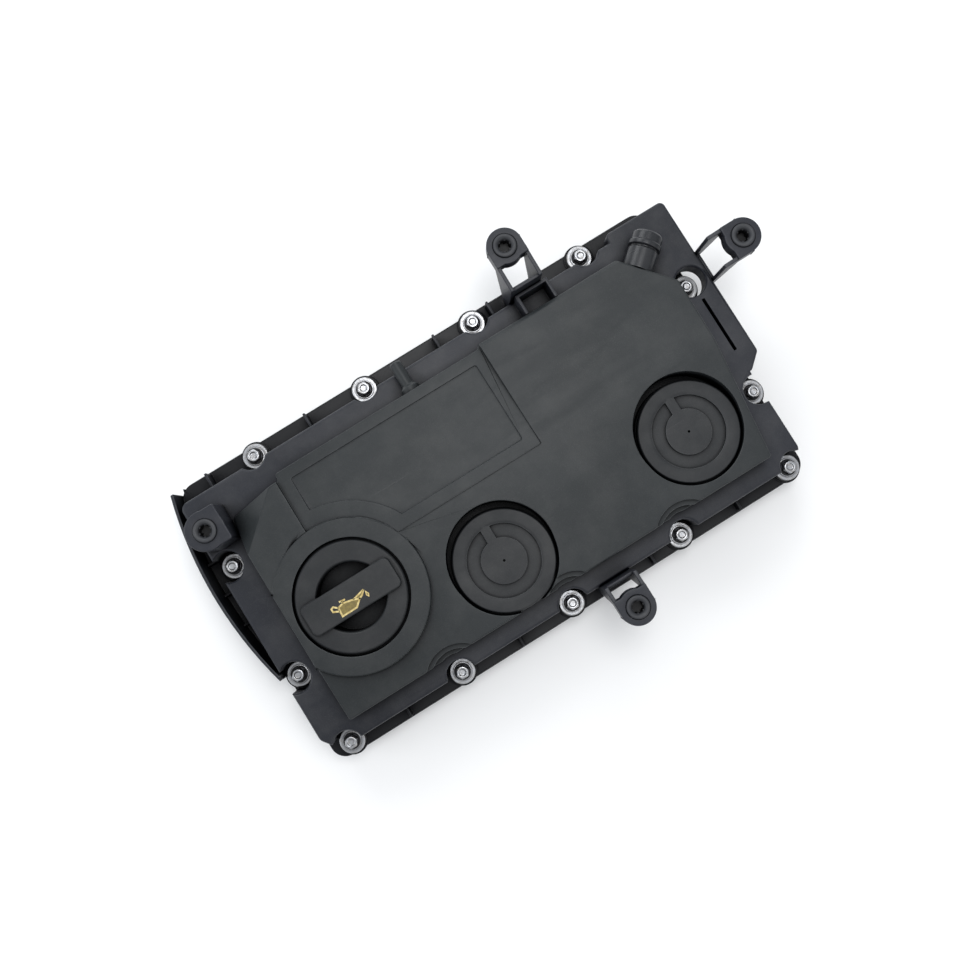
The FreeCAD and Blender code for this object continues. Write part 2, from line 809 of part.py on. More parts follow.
def filler_cap():
    """A bayonet cap: rim, grip bar between two hollows, plug and two lugs."""
    shell = turned(
        "cap_shell",
        [
            ("0", "38.6"), ("24", "38.6"), ("24", "36.6"), ("dim.plug_r", "36.6"),
            ("dim.plug_r", "dim.cap_base_z"),
            ("dim.cap_r - 0.6", "dim.cap_base_z"), ("dim.cap_r", "dim.cap_base_z + 0.6"),
            ("dim.cap_r", "dim.cap_rim_z - 1.2"), ("dim.cap_r - 1.2", "dim.cap_rim_z"),
            ("0", "dim.cap_rim_z"),
        ],
    )
    web = box("grip_web", "48", "dim.grip_width", "12", "-24", "-dim.grip_width / 2", "40.6")
    bar = box(
        "grip_bar", "2 * dim.grip_half", "dim.grip_width", "dim.grip_z - 52", "-dim.grip_half",
        "-dim.grip_width / 2", "52",
    )
    bar = rounded("grip_corners", bar, "4", upright)
    bar = rounded("grip_eased", bar, "1", level("dim.grip_z"))
    hollow = cylinder("grip_hollow", "22.4", "20", z="41")
    hollow_mouth = cone("grip_hollow_mouth", "22.4", "23.4", "1.2", z="dim.cap_rim_z - 1.1")
    dished = cut("cap_dished", shell, fuse("grip_hollows", [hollow, hollow_mouth]))
    lug_ring = turned(
        "lug_ring",
        [
            ("dim.plug_r - 1", "36.6"), ("dim.lug_r - 0.6", "36.6"), ("dim.lug_r", "37.4"),
            ("dim.lug_r", "dim.tab_z - 0.5"), ("dim.plug_r - 1", "dim.tab_z - 0.5"),
        ],
    )
    sectors = sector_pair("lug_sectors", value("dim.lug_angle") / 2, 60.0, "0", "0")
    lugs = common("cap_lugs", lug_ring, sectors)
    cap = fuse("filler_cap", [dished, web, bar, lugs])
    return place(cap, "dim.cap_x", "dim.cap_y", "0")


def filler_seal():
    return turned(
        "filler_seal",
        [
            ("dim.neck_r + 0.2", "dim.neck_top_z + 0.1"), ("dim.neck_r + 3", "dim.neck_top_z + 0.1"),
            ("dim.neck_r + 3", "dim.cap_base_z - 0.02"), ("dim.neck_r + 0.2", "dim.cap_base_z - 0.02"),
        ],
        "dim.cap_x",
        "dim.cap_y",
    )


def regulator_cap(key, x, y):
    """A snap-on disc with a shallow keyed ring and a pinhole that vents its upper chamber."""
    body = doc.addObject("PartDesign::Body", f"regulator_cap_{key}")
    profile = body.newObject("Sketcher::SketchObject", f"cap_profile_{key}")
    plane = [f for f in body.Origin.OriginFeatures if f.Role == "XZ_Plane"][0]
    profile.AttachmentSupport = [(plane, "")]
    profile.MapMode = "FlatFace"
    hold_corners(
        profile,
        [
            ("0", "dim.disc_z - 3.4"), ("dim.disc_r - 8", "dim.disc_z - 3.4"),
            ("dim.disc_r - 8", "dim.ledge_z + 1.6"), ("dim.disc_r - 0.8", "dim.ledge_z + 1.6"),
            ("dim.disc_r", "dim.ledge_z + 2.4"), ("dim.disc_r", "dim.disc_z - 1"),
            ("dim.disc_r - 1", "dim.disc_z"), ("26.6", "dim.disc_z"), ("25.2", "dim.disc_z - 0.45"),
            ("0", "dim.disc_z - 0.45"),
        ],
    )
    turn = body.newObject("PartDesign::Revolution", f"cap_turn_{key}")
    turn.Profile = profile
    turn.ReferenceAxis = (profile, ["V_Axis"])
    turn.Angle = 360
    doc.recompute()
    track = body.newObject("Sketcher::SketchObject", f"cap_track_{key}")
    floor = [f for f in body.Origin.OriginFeatures if f.Role == "XY_Plane"][0]
    track.AttachmentSupport = [(floor, "")]
    track.MapMode = "FlatFace"
    track.setExpression("AttachmentOffset.Base.z", "dim.disc_z")
    draw_keyed_ring(track, 15.4, 24.4, 3.4)
    pocket = body.newObject("PartDesign::Pocket", f"cap_ring_{key}")
    pocket.Profile = track
    pocket.Length = 2.3
    doc.recompute()
    vent = body.newObject("Sketcher::SketchObject", f"cap_vent_{key}")
    vent.AttachmentSupport = [(floor, "")]
    vent.MapMode = "FlatFace"
    vent.setExpression("AttachmentOffset.Base.z", "dim.disc_z")
    vent.addGeometry(Part.Circle(Vector(0, 0, 0), Vector(0, 0, 1), 0.8), False)
    vent.addConstraint(Sketcher.Constraint("Radius", 0, 0.8))
    drill = body.newObject("PartDesign::Pocket", f"cap_pinhole_{key}")
    drill.Profile = vent
    drill.Length = 6
    place(body, x, y, "0")
    doc.recompute()
    return body


def draw_keyed_ring(sketch, inner, outer, half_web):
    """A ring slot broken by one web at +Y."""
    def at(radius, side):
        return Vector(side * half_web, math.sqrt(radius ** 2 - half_web ** 2), 0)

    def arc(radius):
        start = math.atan2(at(radius, -1).y, at(radius, -1).x)
        end = math.atan2(at(radius, 1).y, at(radius, 1).x) + 2 * math.pi
        return Part.ArcOfCircle(Part.Circle(Vector(), Vector(0, 0, 1), radius), start, end)

    sketch.addGeometry(
        [
            arc(outer),
            arc(inner),
            Part.LineSegment(at(inner, -1), at(outer, -1)),
            Part.LineSegment(at(inner, 1), at(outer, 1)),
        ],
        False,
    )
    for pair in ((0, 1, 2, 2), (1, 1, 2, 1), (0, 2, 3, 2), (1, 2, 3, 1)):
        sketch.addConstraint(Sketcher.Constraint("Coincident", *pair))


def diaphragm(key, x, y):
    """A rolling diaphragm: a clamped rim, one fold and a flat centre."""
    low = "dim.ledge_z + 0.05"
    return turned(
        f"diaphragm_{key}",
        [
            ("16.2", "40.6"), ("18.2", "40.6"), ("19.4", "44.4"), ("22.6", "44.4"), ("24.4", low),
            ("dim.disc_r - 1.4", low), ("dim.disc_r - 1.4", "dim.ledge_z + 1.55"),
            ("25.2", "dim.ledge_z + 1.55"),
            ("23.3", "45.4"), ("18.7", "45.4"), ("17.5", "41.7"), ("16.2", "41.7"),
        ],
        x,
        y,
    )


def valve_plate(key, x, y):
    """The moving plate: a dished disc with a sealing pad under its middle."""
    return turned(
        f"valve_plate_{key}",
        [
            ("0", "39.2"), ("8.6", "39.2"), ("8.6", "40.4"), ("11.2", "40.4"), ("11.2", "39.4"),
            ("12.4", "39.4"),
            ("12.4", "40.4"), ("16", "40.4"), ("16", "42"), ("0", "42"),
        ],
        x,
        y,
    )


def valve_spring(key, x, y):
    """A spring between the chamber's floor and the valve plate: level turns joined by short slants."""
    wire, radius, turns = 0.55, 10.0, 4
    low = value("dim.chamber_z") + wire + 0.1
    rise = (40.4 - wire - 0.1 - low) / (turns - 1)
    open_angle = math.radians(320)
    pieces = []
    for turn in range(turns):
        z = low + turn * rise
        pieces.append(Part.makeTorus(radius, wire, Vector(0, 0, z), Vector(0, 0, 1), 0, 360, 320))
        if turn + 1 == turns:
            break
        start = Vector(radius * math.cos(open_angle), radius * math.sin(open_angle), z)
        end = Vector(radius, 0, z + rise)
        pieces.append(Part.makeCylinder(wire, (end - start).Length, start, end - start))
        pieces += [Part.makeSphere(wire + 0.01, joint) for joint in (start, end)]
    coil = pieces[0].multiFuse(pieces[1:])
    coil.translate(Vector(value(x), value(y), 0))
    return made(f"valve_spring_{key}", coil)


def hollow_arm(name, eye, edge, foot, root_top, toward):
    """A trim cover arm: two side webs, a root web and a round eye, with a window between them.

    It is drawn pointing along +Y from edge to the eye and then turned to face toward.
    """
    eye_x, eye_y, top = (value(e) for e in EYES[eye])
    reach = abs(eye_y if toward in (0, 180) else eye_x)
    side = value("dim.arm_wall")
    half = value("dim.arm_width") / 2
    eye_thick = value("dim.eye_thick")
    eye_r = value("dim.eye_r")
    webs = []
    for s in (-1, 1):
        points = [
            Vector(0, edge, foot),
            Vector(0, edge + 4, foot),
            Vector(0, reach - 8, top - eye_thick),
            Vector(0, reach, top - eye_thick),
            Vector(0, reach, top),
            Vector(0, edge, top - 3),
        ]
        face = Part.Face(Part.makePolygon(points + points[:1]))
        web = face.extrude(Vector(side, 0, 0))
        web.translate(Vector(half - side if s > 0 else -half, 0, 0))
        webs.append(web)
    webs.append(Part.makeBox(2 * half - 1, 2.2, root_top - foot, Vector(-half + 0.5, edge, foot)))
    hub = Part.makeCylinder(half, eye_thick, Vector(0, reach, top - eye_thick))
    fill = Part.makeBox(2 * half, eye_r, eye_thick, Vector(-half, reach - eye_r + 1.2, top - eye_thick))
    arm = hub.multiFuse(webs + [fill]).removeSplitter()
    arm = arm.cut(Part.makeCylinder(value("dim.bush_r"), 40, Vector(0, reach, top - 30)))
    arm.rotate(Vector(), Vector(0, 0, 1), toward)
    shift = {0: Vector(eye_x, 0, 0), 180: Vector(eye_x, 0, 0), -90: Vector(0, eye_y, 0)}[toward]
    arm.translate(shift)
    return made(name, arm)


def corner_post():
    """The post at the back left corner: round towards the outside, square towards the lid."""
    height = "dim.post_z - dim.shelf_z - 0.1"
    low = "dim.shelf_z + 0.1"
    column = cylinder("post_column", "dim.post_r", height, "dim.post_x", "dim.post_y", low)
    block = box(
        "post_block", "dim.post_r", "2 * dim.post_r - 1", height, "dim.post_x - 0.3",
        "dim.post_y - dim.post_r + 0.5", low,
    )
    block = rounded("post_rounded", block, "1.5", upright)
    post = rounded("post_eased", fuse("post_solid", [column, block]), "0.8", level("dim.post_z"))
    seat_z = "dim.post_z - dim.eye_thick"
    seat = cylinder("post_seat", "dim.bush_r", "dim.eye_thick + 2", "dim.post_x", "dim.post_y", seat_z)
    core = box("post_core", "14", "14", "14", "dim.post_x - 7", "dim.post_y - 7", "dim.shelf_z")
    return cut("corner_post", post, seat, core)


def rubber_bush(name, x, y, z):
    """A grommet that grips the trim cover's ball stud."""
    return turned(
        name,
        [
            ("0", f"{z} - dim.eye_thick + 0.3"), ("dim.bush_r - 1.2", f"{z} - dim.eye_thick + 0.3"),
            ("dim.bush_r - 0.05", f"{z} - dim.eye_thick + 1.5"), ("dim.bush_r - 0.05", z),
            ("dim.bush_r - 0.05", f"{z} + 0.4"), ("dim.bush_r - 0.9", f"{z} + 1.2"),
            ("dim.bush_bore + 1.6", f"{z} + 1.2"), ("dim.bush_bore", f"{z} - 0.4"),
            ("dim.bush_bore", f"{z} - dim.eye_thick + 1.8"), ("0", f"{z} - dim.eye_thick + 1.8"),
        ],
        x,
        y,
    )


def bolt_pattern_pieces():
    """Every bolt's stack: rubber bush, steel sleeve with its washer, flanged bolt and retaining ring."""
    boss_top = "dim.gasket_proud + dim.flange_thick + 0.8"
    bush = turned(
        "bush_pattern",
        [
            ("4.65", "dim.gasket_proud + 0.4"), ("dim.hole_r - 0.05", "dim.gasket_proud + 0.4"),
            ("dim.hole_r - 0.05", boss_top), ("dim.hole_r - 0.05", f"{boss_top} + 0.05"),
            ("9.4", f"{boss_top} + 0.05"), ("9.4", f"{boss_top} + 2.2"), ("8.6", f"{boss_top} + 2.8"),
            ("4.65", f"{boss_top} + 2.8"),
        ],
    )
    sleeve = turned(
        "sleeve_pattern",
        [
            ("3.3", "dim.gasket_proud"), ("4.6", "dim.gasket_proud"), ("4.6", f"{boss_top} + 2.85"),
            ("8.3", f"{boss_top} + 2.85"), ("8.8", f"{boss_top} + 3.3"), ("8.8", f"{boss_top} + 3.9"),
            ("8.4", f"{boss_top} + 4.4"), ("3.3", f"{boss_top} + 4.4"),
        ],
    )
    seat = f"{boss_top} + 4.45"
    shank = turned(
        "bolt_shank",
        [
            ("0", "-14"), ("2.2", "-14"), ("dim.bolt_r", "-13.2"), ("dim.bolt_r", "0.9"),
            ("dim.bolt_r - 0.4", "1.3"), ("dim.bolt_r - 0.4", seat), ("6.4", seat),
            ("6.4", f"{seat} + 1.1"), ("0", f"{seat} + 1.1"),
        ],
    )
    hexagon = doc.addObject("Part::Prism", "bolt_hexagon")
    hexagon.Polygon = 6
    hexagon.setExpression("Circumradius", "dim.bolt_flats / sqrt(3)")
    hexagon.setExpression("Height", "7.4")
    place(hexagon, z=seat)
    crown = turned(
        "bolt_crown",
        [
            ("0", f"{seat}"), ("5", f"{seat}"), ("5", f"{seat} + 6.2"), ("3.7", f"{seat} + 7.2"),
            ("2.6", f"{seat} + 7.2"), ("2", f"{seat} + 6.6"), ("0", f"{seat} + 6.6"),
        ],
    )
    bolt = fuse("bolt_pattern", [shank, common("bolt_head", hexagon, crown)])
    ring = turned(
        "ring_pattern",
        [
            ("4.75", f"{seat} + 1.15"), ("5.7", f"{seat} + 1.15"), ("5.7", f"{seat} + 1.8"),
            ("5.4", f"{seat} + 2.1"), ("4.75", f"{seat} + 2.1"),
        ],
    )
    return [
        group_of("bolt_rings", ring, BOLTS),
        group_of("bolt_bushes", bush, BOLTS),
        group_of("bolt_sleeves", sleeve, BOLTS),
        group_of("cover_bolts", bolt, BOLTS),
    ]


def cover_gasket(cavity):
    """The profiled rubber gasket, standing proud of its groove."""
    band = gasket_band(cavity, 0.0, value("dim.gasket_proud") + 4.4, -0.3)
    return made("cover_gasket", band)


# ---------- assembly ----------

body, cavity = cover_body()
parts = [body, separator_lid(), separator_baffle(), breather_port(), filler_cap(), filler_seal()]
for key, (x, y) in REGULATORS.items():
    parts += [
        regulator_cap(key, x, y), diaphragm(key, x, y), valve_plate(key, x, y), valve_spring(key, x, y)
    ]
parts += [
    hollow_arm("back_arm", "back", value("dim.shelf_back") + 0.05, FLANGE_TOP + 0.05, 63.0, 0),
    hollow_arm(
        "right_arm", "right", value("dim.ledge_right") + 0.05, value("dim.ledge_under"),
        value("dim.shelf_z") - 1, -90,
    ),
    hollow_arm("front_arm", "front", value("dim.shelf_front") + 0.05, FLANGE_TOP + 0.05, 52.0, 180),
    corner_post(),
]
parts += [rubber_bush(f"{name}_grommet", *where) for name, where in EYES.items()]
parts += bolt_pattern_pieces()
parts.append(cover_gasket(cavity))
doc.recompute()

for obj in doc.Objects:
    if "Invalid" in obj.State or "Error" in obj.State:
        raise RuntimeError(f"{obj.Name} failed: {obj.State}")
for part in parts:
    part.Label = part.Name
    if part.Shape.isNull() or not part.Shape.isValid():
        raise RuntimeError(f"{part.Label} has no valid shape")
    part.Shape.exportStep(f"parts/{part.Label}.step")
    box_ = part.Shape.BoundBox
    print(
        f"{part.Label:18s} solids {len(part.Shape.Solids):2d}  volume {part.Shape.Volume:10.0f}  "
        f"z {box_.ZMin:6.1f} to {box_.ZMax:5.1f}"
    )
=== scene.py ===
import json
from math import cos, pi, radians, sin

import bmesh
import bpy
from mathutils import Euler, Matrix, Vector


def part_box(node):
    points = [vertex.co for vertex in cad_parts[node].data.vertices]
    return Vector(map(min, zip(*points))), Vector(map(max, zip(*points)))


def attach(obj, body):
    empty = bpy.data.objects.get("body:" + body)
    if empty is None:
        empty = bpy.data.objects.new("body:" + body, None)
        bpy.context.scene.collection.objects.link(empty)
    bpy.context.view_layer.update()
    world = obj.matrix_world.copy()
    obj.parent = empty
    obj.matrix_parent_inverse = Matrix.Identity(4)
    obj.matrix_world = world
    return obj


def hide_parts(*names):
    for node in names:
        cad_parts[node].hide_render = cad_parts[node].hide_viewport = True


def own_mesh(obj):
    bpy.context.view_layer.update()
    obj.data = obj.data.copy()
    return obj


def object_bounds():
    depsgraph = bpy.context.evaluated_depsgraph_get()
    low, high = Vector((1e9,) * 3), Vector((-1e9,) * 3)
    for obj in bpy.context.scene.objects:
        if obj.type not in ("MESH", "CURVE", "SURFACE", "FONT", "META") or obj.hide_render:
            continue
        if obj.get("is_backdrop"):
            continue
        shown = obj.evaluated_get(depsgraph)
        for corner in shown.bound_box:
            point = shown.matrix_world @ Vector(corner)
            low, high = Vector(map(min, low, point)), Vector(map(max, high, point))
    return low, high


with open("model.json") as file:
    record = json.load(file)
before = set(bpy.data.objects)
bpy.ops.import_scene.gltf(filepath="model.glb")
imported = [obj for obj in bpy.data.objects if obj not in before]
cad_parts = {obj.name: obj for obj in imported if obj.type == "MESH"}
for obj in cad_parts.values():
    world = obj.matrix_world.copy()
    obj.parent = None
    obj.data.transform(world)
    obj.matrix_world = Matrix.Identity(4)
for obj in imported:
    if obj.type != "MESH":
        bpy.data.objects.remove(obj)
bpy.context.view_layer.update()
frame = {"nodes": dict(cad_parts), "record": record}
nodes = frame["nodes"]
record = frame["record"]
slotOf = {part["node"]: part["material_slot"] for part in record["subparts"]}
bodyOf = {name: body for body, members in record["behaviour"]["bodies"].items() for name in members}
mm = 0.001
print("frame loaded:", len(nodes), "nodes")


# shader groups: effects that several finishes share

def newGroup(name, inputs, outputs):
    group = bpy.data.node_groups.new(name, "ShaderNodeTree")
    for label, kind, value in inputs:
        socket = group.interface.new_socket(label, in_out="INPUT", socket_type=kind)
        if value is not None:
            socket.default_value = value
    for label, kind in outputs:
        group.interface.new_socket(label, in_out="OUTPUT", socket_type=kind)
    return group, group.nodes.new("NodeGroupInput"), group.nodes.new("NodeGroupOutput")


def noise(tree, vector, scale, detail=3.0, roughness=0.55, distortion=0.0):
    node = tree.nodes.new("ShaderNodeTexNoise")
    node.inputs["Detail"].default_value = detail
    node.inputs["Roughness"].default_value = roughness
    node.inputs["Distortion"].default_value = distortion
    if hasattr(scale, "is_output"):
        tree.links.new(scale, node.inputs["Scale"])
    else:
        node.inputs["Scale"].default_value = scale
    tree.links.new(vector, node.inputs["Vector"])
    return node.outputs["Fac"]


def maths(tree, kind, first, second):
    node = tree.nodes.new("ShaderNodeMath")
    node.operation = kind
    for socket, value in zip(node.inputs, (first, second)):
        if hasattr(value, "is_output"):
            tree.links.new(value, socket)
        else:
            socket.default_value = value
    return node.outputs[0]


def scaled(tree, value, share):
    return maths(tree, "MULTIPLY", value, share)


def remap(tree, value, low, high, toLow=0.0, toHigh=1.0):
    node = tree.nodes.new("ShaderNodeMapRange")
    node.clamp = True
    tree.links.new(value, node.inputs["Value"])
    for label, number in (("From Min", low), ("From Max", high), ("To Min", toLow), ("To Max", toHigh)):
        if hasattr(number, "is_output"):
            tree.links.new(number, node.inputs[label])
        else:
            node.inputs[label].default_value = number
    return node.outputs["Result"]


def turnedPattern(tree, vector, turn, scale):
    node = tree.nodes.new("ShaderNodeMapping")
    node.inputs["Rotation"].default_value = (0.0, 0.0, radians(turn))
    node.inputs["Scale"].default_value = scale
    tree.links.new(vector, node.inputs["Vector"])
    return node.outputs["Vector"]


def mixColour(tree, factor, first, second):
    node = tree.nodes.new("ShaderNodeMix")
    node.data_type = "RGBA"
    if hasattr(factor, "is_output"):
        tree.links.new(factor, node.inputs["Factor"])
    else:
        node.inputs["Factor"].default_value = factor
    for label, value in ((6, first), (7, second)):
        if hasattr(value, "is_output"):
            tree.links.new(value, node.inputs[label])
        else:
            node.inputs[label].default_value = (*value, 1.0)
    return node.outputs[2]


grainLook = {"peelScale": 0.28, "pitScale": 0.8, "fine": 0.5, "pits": 0.35, "peel": 0.4, "fleck": (0.56, 0.7)}


def makeGrainGroup(look):
    # spark-eroded mould texture: fine pits over a faint orange peel
    group, start, end = newGroup(
        "mouldGrain",
        [("Vector", "NodeSocketVector", None), ("Grain Size", "NodeSocketFloat", 2600.0)],
        [("Height", "NodeSocketFloat"), ("Fleck", "NodeSocketFloat")],
    )
    vector, size = start.outputs["Vector"], start.outputs["Grain Size"]
    fine = noise(group, vector, size, 2.0, 0.6)
    peel = noise(group, vector, scaled(group, size, look["peelScale"]), 2.0, 0.5)
    pits = group.nodes.new("ShaderNodeTexVoronoi")
    pits.feature = "SMOOTH_F1"
    group.links.new(vector, pits.inputs["Vector"])
    group.links.new(scaled(group, size, look["pitScale"]), pits.inputs["Scale"])
    pitted = remap(group, pits.outputs["Distance"], 0.1, 0.7)
    height = maths(group, "ADD", scaled(group, fine, look["fine"]), scaled(group, pitted, look["pits"]))
    height = maths(group, "ADD", height, scaled(group, peel, look["peel"]))
    group.links.new(height, end.inputs["Height"])
    group.links.new(remap(group, fine, *look["fleck"]), end.inputs["Fleck"])
    return group


handlingLook = {
    "cloudScale": 9.0, "wipeTurn": 24, "wipeScale": (14.0, 60.0, 30.0), "wipe": (0.46, 0.74),
    "scratchRuns": ((17, 260.0), (-41, 330.0)), "scratchLength": 7.0, "scratch": (0.735, 0.77),
}


def makeHandlingGroup(look):
    # broad cloudy sheen, wiped smudges and thin straight scratches
    group, start, end = newGroup(
        "handlingMarks",
        [("Vector", "NodeSocketVector", None)],
        [("Cloud", "NodeSocketFloat"), ("Smudge", "NodeSocketFloat"), ("Scratch", "NodeSocketFloat")],
    )
    vector = start.outputs["Vector"]
    cloud = noise(group, vector, look["cloudScale"], 2.0, 0.5, 0.4)
    group.links.new(remap(group, cloud, 0.3, 0.7), end.inputs["Cloud"])
    wiped = turnedPattern(group, vector, look["wipeTurn"], look["wipeScale"])
    smudge = noise(group, wiped, 1.0, 4.0, 0.6, 0.8)
    group.links.new(remap(group, smudge, *look["wipe"]), end.inputs["Smudge"])
    lines = None
    for turn, pitch in look["scratchRuns"]:
        laid = turnedPattern(group, vector, turn, (look["scratchLength"], pitch, pitch))
        line = remap(group, noise(group, laid, 1.0, 2.0, 0.4), *look["scratch"])
        lines = line if lines is None else maths(group, "MAXIMUM", lines, line)
    group.links.new(lines, end.inputs["Scratch"])
    return group


edgeLook = {"reach": 0.0008, "lean": (0.985, 0.86), "patchScale": 160.0, "leastRubAndHighlight": 0.25}


def makeEdgeGroup(look):
    # how far a spot's rounded normal leans from its own: corners drawn bright, partly wear from hands and
    # tools and partly a painted highlight
    group, start, end = newGroup(
        "edgeRubAndHighlight",
        [("Vector", "NodeSocketVector", None), ("Reach", "NodeSocketFloat", look["reach"])],
        [("RubAndHighlight", "NodeSocketFloat")],
    )
    rounded = group.nodes.new("ShaderNodeBevel")
    rounded.samples = 4
    group.links.new(start.outputs["Reach"], rounded.inputs["Radius"])
    geometry = group.nodes.new("ShaderNodeNewGeometry")
    lean = group.nodes.new("ShaderNodeVectorMath")
    lean.operation = "DOT_PRODUCT"
    group.links.new(rounded.outputs["Normal"], lean.inputs[0])
    group.links.new(geometry.outputs["Normal"], lean.inputs[1])
    corner = remap(group, lean.outputs["Value"], *look["lean"])
    patches = noise(group, start.outputs["Vector"], look["patchScale"], 4.0, 0.6)
    patchy = remap(group, patches, 0.36, 0.66, look["leastRubAndHighlight"], 1.0)
    group.links.new(maths(group, "MULTIPLY", corner, patchy), end.inputs["RubAndHighlight"])
    return group


lowShadeLook = {"top": 0.026, "fade": 0.012, "ragged": 0.003, "raggedScale": 60.0}


def makeLowGroup(look):
    # painted shade: 1 low down near the head, where the cover is drawn darker, fading out upwards
    group, start, end = newGroup(
        "lowPaintedShade",
        [("Vector", "NodeSocketVector", None), ("Top", "NodeSocketFloat", look["top"])],
        [("PaintedShade", "NodeSocketFloat")],
    )
    split = group.nodes.new("ShaderNodeSeparateXYZ")
    group.links.new(start.outputs["Vector"], split.inputs[0])
    waves = noise(group, start.outputs["Vector"], look["raggedScale"], 4.0, 0.6)
    ragged = remap(group, waves, 0.3, 0.7, -look["ragged"], look["ragged"])
    height = maths(group, "ADD", split.outputs["Z"], ragged)
    top = start.outputs["Top"]
    lowShade = remap(group, height, top, maths(group, "SUBTRACT", top, look["fade"]))
    group.links.new(lowShade, end.inputs["PaintedShade"])
    return group


dustLook = {
    "level": (0.4, 0.98), "driftScale": 34.0, "drift": (0.42, 0.78), "speckScale": 1900.0,
    "speck": (0.68, 0.76),
}


def makeDustGroup(look):
    # pale dust that settles on level faces and gathers where the mould is roughest
    group, start, end = newGroup(
        "settledDust", [("Vector", "NodeSocketVector", None)], [("Dust", "NodeSocketFloat")]
    )
    geometry = group.nodes.new("ShaderNodeNewGeometry")
    split = group.nodes.new("ShaderNodeSeparateXYZ")
    group.links.new(geometry.outputs["Normal"], split.inputs[0])
    level = remap(group, split.outputs["Z"], *look["level"])
    vector = start.outputs["Vector"]
    drift = remap(group, noise(group, vector, look["driftScale"], 5.0, 0.65), *look["drift"])
    specks = remap(group, noise(group, vector, look["speckScale"], 2.0, 0.5), *look["speck"])
    amount = maths(group, "MULTIPLY", level, maths(group, "MAXIMUM", drift, specks))
    group.links.new(amount, end.inputs["Dust"])
    return group


creviceLook = {
    "reach": 0.012, "open": (0.28, 0.9), "jointReach": 0.0026, "joint": (0.88, 0.5), "patchScale": 120.0,
    "leastGrimeAndShade": 0.55,
}


def makeCreviceGroup(look):
    # how shut in a spot is: 1 in the open, 0 deep in a recess, which paints shade there; near the joints a
    # patchy mask of dirt and painted shade
    group, start, end = newGroup(
        "creviceShade",
        [("Vector", "NodeSocketVector", None), ("Reach", "NodeSocketFloat", look["reach"])],
        [("Open", "NodeSocketFloat"), ("GrimeAndShade", "NodeSocketFloat")],
    )
    around = group.nodes.new("ShaderNodeAmbientOcclusion")
    around.samples = 8
    group.links.new(start.outputs["Reach"], around.inputs["Distance"])
    group.links.new(remap(group, around.outputs["AO"], *look["open"]), end.inputs["Open"])
    near = group.nodes.new("ShaderNodeAmbientOcclusion")
    near.samples = 6
    near.inputs["Distance"].default_value = look["jointReach"]
    joint = remap(group, near.outputs["AO"], *look["joint"])
    patches = noise(group, start.outputs["Vector"], look["patchScale"], 4.0, 0.6)
    patchy = remap(group, patches, 0.35, 0.65, look["leastGrimeAndShade"], 1.0)
    group.links.new(maths(group, "MULTIPLY", joint, patchy), end.inputs["GrimeAndShade"])
    return group


grainGroup = makeGrainGroup(grainLook)
handlingGroup = makeHandlingGroup(handlingLook)
edgeGroup = makeEdgeGroup(edgeLook)
lowGroup = makeLowGroup(lowShadeLook)
dustGroup = makeDustGroup(dustLook)
creviceGroup = makeCreviceGroup(creviceLook)
print("shared effects made")


def placeGroup(tree, group, vector, **values):
    node = tree.nodes.new("ShaderNodeGroup")
    node.node_tree = group
    tree.links.new(vector, node.inputs["Vector"])
    for label, value in values.items():
        node.inputs[label.replace("_", " ")].default_value = value
    return node


def startMaterial(name):
    material = bpy.data.materials.new(name)
    material.use_nodes = True
    tree = material.node_tree
    shader = tree.nodes["Principled BSDF"]
    vector = tree.nodes.new("ShaderNodeTexCoord").outputs["Object"]
    return material, tree, shader, vector


def scratchedHeight(tree, grain, marks, depth):
    return maths(tree, "SUBTRACT", grain.outputs["Height"], scaled(tree, marks.outputs["Scratch"], depth))


def addBump(tree, shader, height, distance, softEdge=0.0):
    bump = tree.nodes.new("ShaderNodeBump")
    bump.inputs["Strength"].default_value = 1.0
    bump.inputs["Distance"].default_value = distance
    tree.links.new(height, bump.inputs["Height"])
    if softEdge:
        soft = tree.nodes.new("ShaderNodeBevel")
        soft.samples = 6
        soft.inputs["Radius"].default_value = softEdge
        tree.links.new(soft.outputs["Normal"], bump.inputs["Normal"])
    tree.links.new(bump.outputs["Normal"], shader.inputs["Normal"])


dustTone = (0.42, 0.41, 0.39)
plasticWear = {
    "fleck": 0.16, "rubAndHighlight": 0.7, "rubAndHighlightReach": 1.6, "grimeAndShade": 0.85, "shutGloss": 0.2, "scratchShine": 0.07,
}
plasticLooks = {
    "lidPlastic": {
        "base": (0.0150, 0.0176, 0.0190), "pale": (0.0222, 0.0254, 0.0272), "rubbedAndHighlight": (0.11, 0.115, 0.12),
        "rough": (0.38, 0.52), "gloss": 0.24, "grainSize": 2600.0, "grainDepth": 0.00003, "dust": 0.035,
        "softEdge": 0.0005, "gap": (0.0015, 0.0018, 0.0024), "lowShade": 0.5,
    },
    "coverPlastic": {
        "base": (0.0128, 0.0142, 0.0188), "pale": (0.0202, 0.0220, 0.0285), "rubbedAndHighlight": (0.11, 0.115, 0.125),
        "rough": (0.32, 0.46), "gloss": 0.24, "grainSize": 2200.0, "grainDepth": 0.00004, "dust": 0.05,
        "softEdge": 0.0006, "gap": (0.0008, 0.0010, 0.0018), "lowShade": 0.85,
    },
    "capPlastic": {
        "base": (0.0120, 0.0133, 0.0148), "pale": (0.0190, 0.0205, 0.0225), "rubbedAndHighlight": (0.12, 0.125, 0.13),
        "rough": (0.42, 0.56), "gloss": 0.24, "grainSize": 3200.0, "grainDepth": 0.00005, "dust": 0.04,
        "softEdge": 0.0005, "gap": (0.0010, 0.0012, 0.0018), "lowShade": 0.5,
    },
    "portPlastic": {
        "base": (0.0150, 0.0160, 0.0185), "pale": (0.0240, 0.0255, 0.0290), "rubbedAndHighlight": (0.14, 0.145, 0.155),
        "rough": (0.24, 0.36), "gloss": 0.34, "grainSize": 3600.0, "grainDepth": 0.00002, "dust": 0.03,
        "softEdge": 0.0004, "gap": (0.0010, 0.0012, 0.0020), "lowShade": 0.5,
    },
}


